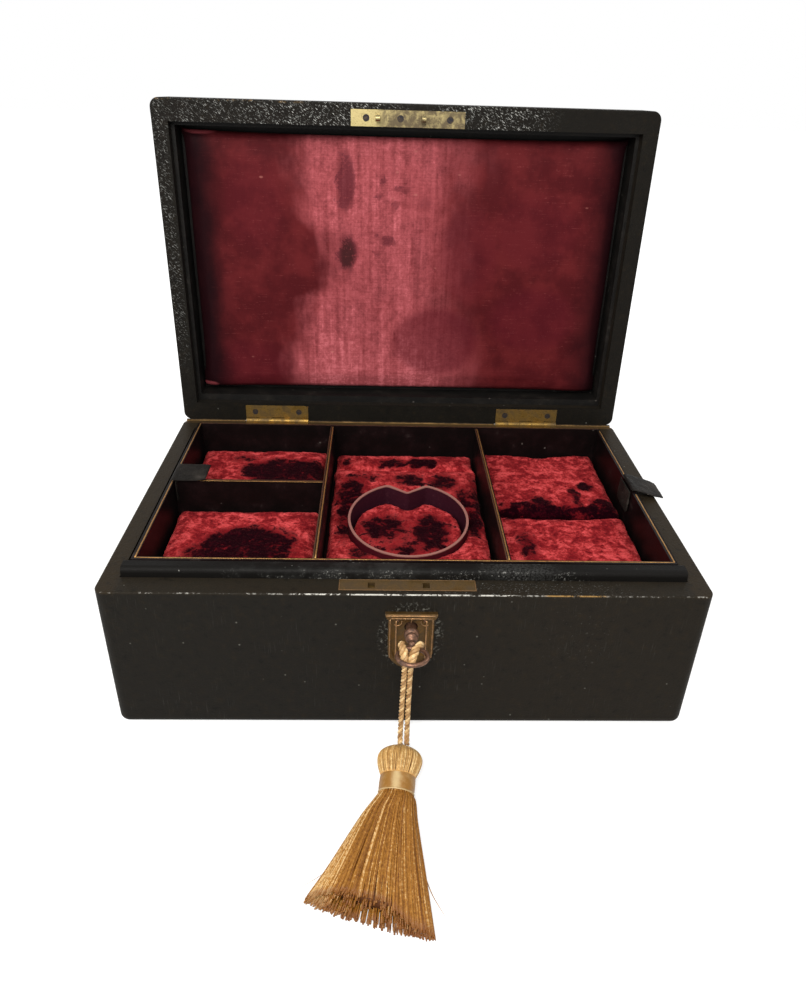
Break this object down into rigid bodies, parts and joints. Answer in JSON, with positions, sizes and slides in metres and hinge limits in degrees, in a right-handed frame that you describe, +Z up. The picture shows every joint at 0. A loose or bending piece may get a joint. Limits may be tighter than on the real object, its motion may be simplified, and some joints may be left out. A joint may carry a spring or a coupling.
{
  "type": "jewellery box",
  "caption": "Leather-covered jewellery box with a hinged lid standing open, a lift-out tray of padded compartments, a box lock, and a key with a silk tassel.",
  "frame": {"origin": "middle of the base's rectangular footprint, on the underside", "axes": "+X to the box's right as seen from the keyhole's side, +Y from the keyhole to the hinges, +Z up"},
  "size_m": [0.2849, 0.329, 0.267],
  "materials": {
    "leather": "worn black leather, grained, satin with glossy rims",
    "lip_leather": "smooth black leather, satin",
    "tray_leather": "smooth black leather, glossy",
    "strap_leather": "thin black leather",
    "pine": "plain unfinished softwood",
    "lining_paper": "thin boards covered with dark red paper",
    "underside_cloth": "thin book cloth, matt",
    "silk": "burgundy satin with a fine rib",
    "velvet": "crushed crimson velvet",
    "gold_cord": "twisted gold silk cord",
    "tassel_silk": "golden-brown silk threads",
    "antique_bronze": "dark patinated bronze, half polished",
    "plate_brass": "yellow brass, worn satin",
    "hinge_brass": "olive aged brass",
    "lock_brass": "aged brass",
    "steel": "dull spring steel"
  },
  "bodies": {
    "base": {"base_back_board": "pine", "base_bottom_board": "pine", "base_front_board": "pine", "base_leather_cover": "leather", "base_left_board": "pine", "base_right_board": "pine", "base_underside_panel": "underside_cloth", "escutcheon_pins": "antique_bronze", "escutcheon_plate": "antique_bronze", "front_lip_board": "lip_leather", "hinge_base_leaf_left": "hinge_brass", "hinge_base_leaf_right": "hinge_brass", "hinge_base_screws": "hinge_brass", "hinge_pins": "hinge_brass", "lock_cap": "lock_brass", "lock_case": "lock_brass", "lock_drill_pin": "steel", "lock_selvedge": "lock_brass", "lock_spring": "steel", "tassel_band": "tassel_silk", "tassel_cord": "gold_cord", "tassel_head": "tassel_silk", "tassel_skirt": "tassel_silk", "well_floor_pad": "velvet", "well_ledge_boards": "lining_paper"},
    "lid": {"hinge_lid_leaf_left": "hinge_brass", "hinge_lid_leaf_right": "hinge_brass", "hinge_lid_screws": "hinge_brass", "lid_back_board": "pine", "lid_front_board": "pine", "lid_leather_cover": "leather", "lid_left_board": "pine", "lid_lining_strips": "lip_leather", "lid_right_board": "pine", "lid_silk_pad": "silk", "lid_top_board": "pine", "link_plate": "plate_brass", "link_plate_screws": "plate_brass"},
    "tray": {"bracelet_ring": "tray_leather", "pad_centre_main": "velvet", "pad_centre_rear": "velvet", "pad_left_front": "velvet", "pad_left_rear": "velvet", "pad_right_front": "velvet", "pad_right_rear": "velvet", "pad_ring_centre": "velvet", "strap_tails": "strap_leather", "tray_back_wall": "tray_leather", "tray_cross_divider": "tray_leather", "tray_floor": "tray_leather", "tray_front_wall": "tray_leather", "tray_left_wall": "tray_leather", "tray_partition_left": "tray_leather", "tray_partition_right": "tray_leather", "tray_right_wall": "tray_leather"},
    "strap_left": {"pull_strap_left": "strap_leather"},
    "strap_right": {"pull_strap_right": "strap_leather"},
    "key": {"key": "antique_bronze"},
    "bolt": {"lock_bolt": "lock_brass"},
    "lever": {"lock_lever": "steel"}
  },
  "joints": [
    {"name": "lid_hinge", "type": "hinge", "parent": "base", "child": "lid", "pos_m": [0, 0.093, 0.08115], "axis": [-1, 0, 0], "range_deg": [-92, 0]},
    {"name": "tray_lift", "type": "slide", "parent": "base", "child": "tray", "axis": [0, 0, 1], "range_m": [0, 0.1]},
    {"name": "strap_left_fold", "type": "hinge", "parent": "tray", "child": "strap_left", "pos_m": [-0.12665, 0.0108, 0.08635], "axis": [0, -1, 0], "range_deg": [0, 194]},
    {"name": "strap_right_fold", "type": "hinge", "parent": "tray", "child": "strap_right", "pos_m": [0.12665, 0.0054, 0.08635], "axis": [0, -1, 0], "range_deg": [0, 194]},
    {"name": "key_turn", "type": "hinge", "parent": "base", "child": "key", "pos_m": [0.0019, -0.1, 0.0635], "axis": [0, 1, 0], "range_deg": [-90, 270], "deforming": ["tassel_cord"]},
    {"name": "lock_bolt_slide", "type": "slide", "parent": "base", "child": "bolt", "axis": [1, 0, 0], "range_m": [-0.00175, 0.00525]},
    {"name": "lock_lever_lift", "type": "hinge", "parent": "base", "child": "lever", "pos_m": [-0.017, -0.0851, 0.0721], "axis": [0, -1, 0], "range_deg": [0, 6], "stiffness_Nm_per_rad": 0.02, "springref_deg": -2.86, "deforming": ["lock_spring"]}
  ],
  "couplings": [
    {"joint": "strap_right_fold", "follows": "lid_hinge", "ratio": -2.1087},
    {"joint": "key_turn", "follows": "lock_bolt_slide", "rad_per_m": 897.6}
  ]
}
